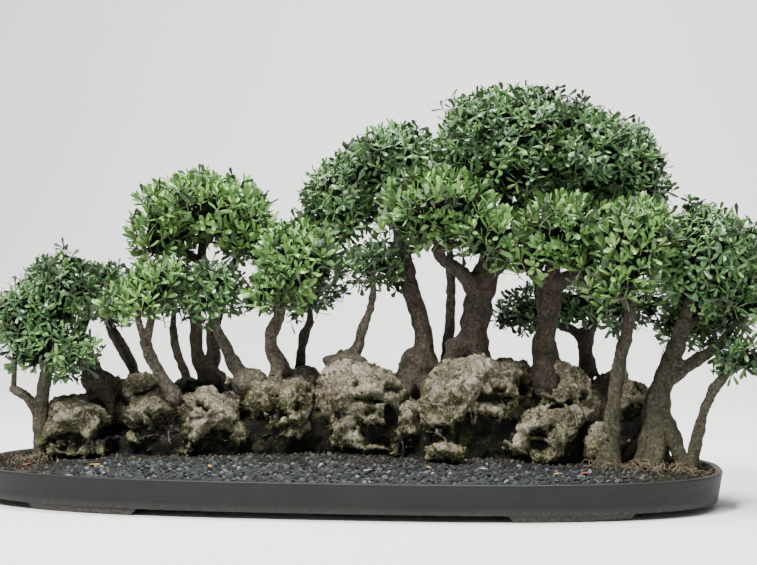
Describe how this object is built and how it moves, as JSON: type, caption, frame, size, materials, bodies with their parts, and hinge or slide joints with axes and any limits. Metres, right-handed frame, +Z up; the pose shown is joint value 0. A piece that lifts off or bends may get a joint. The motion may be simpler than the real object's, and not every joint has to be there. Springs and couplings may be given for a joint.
{
  "type": "olive bonsai",
  "caption": "Group planting of small olive trees gripping a ridge of weathered limestone, with gravel, in a long oval dark stoneware tray on low feet.",
  "frame": {"origin": "under the middle of the whole planting's bounding box, on the plane the tray's feet stand on", "axes": "+X along the tray, to the viewer's right; the front of the planting faces -Y; +Z up"},
  "size_m": [1.0864, 0.42, 0.551],
  "materials": {
    "stoneware": "matte",
    "gravel": "matte",
    "soil": "matte",
    "limestone": "matte",
    "pale_bark": "matte",
    "dark_bark": "matte",
    "bright_leaves": "satin",
    "dark_leaves": "satin"
  },
  "bodies": {
    "root": {"stone_far_left": "limestone", "stone_left": "limestone", "stone_left_side": "limestone", "stone_left_back": "limestone", "stone_left_cap": "limestone", "stone_far_left_back": "limestone", "stone_centre_left": "limestone", "stone_centre": "limestone", "stone_root_seat": "limestone", "stone_pebble": "limestone", "stone_high": "limestone", "stone_centre_back": "limestone", "stone_right": "limestone", "stone_right_high": "limestone", "stone_right_back": "limestone", "stone_stub": "limestone", "stone_mossy": "limestone", "tree_far_left": "pale_bark", "tree_left_stub": "dark_bark", "tree_left_leaning": "dark_bark", "tree_left_slender": "pale_bark", "tree_left_thin": "dark_bark", "tree_left_main": "dark_bark", "tree_left_low": "pale_bark", "tree_middle_left": "pale_bark", "tree_middle_left_dark": "dark_bark", "tree_middle_small": "pale_bark", "tree_old_left": "dark_bark", "tree_middle_back": "pale_bark", "tree_main": "dark_bark", "tree_old_right": "dark_bark", "tree_right_back": "dark_bark", "tree_right_leaning": "pale_bark", "tree_right_main": "pale_bark", "tree_right_low": "pale_bark", "tray": "stoneware", "soil": "soil", "gravel": "gravel", "foliage_far_left": "dark_leaves", "foliage_left_stub": "dark_leaves", "foliage_left_leaning": "dark_leaves", "foliage_left_slender": "bright_leaves", "foliage_left_thin": "dark_leaves", "foliage_left_main": "bright_leaves", "foliage_left_low": "dark_leaves", "foliage_middle_left": "bright_leaves", "foliage_middle_left_dark": "dark_leaves", "foliage_middle_small": "dark_leaves", "foliage_old_left": "dark_leaves", "foliage_middle_back": "dark_leaves", "foliage_main": "dark_leaves", "foliage_main_front": "bright_leaves", "foliage_old_right": "bright_leaves", "foliage_right_back": "dark_leaves", "foliage_right_leaning": "bright_leaves", "foliage_right_main": "dark_leaves", "foliage_right_low": "dark_leaves"}
  },
  "joints": []
}
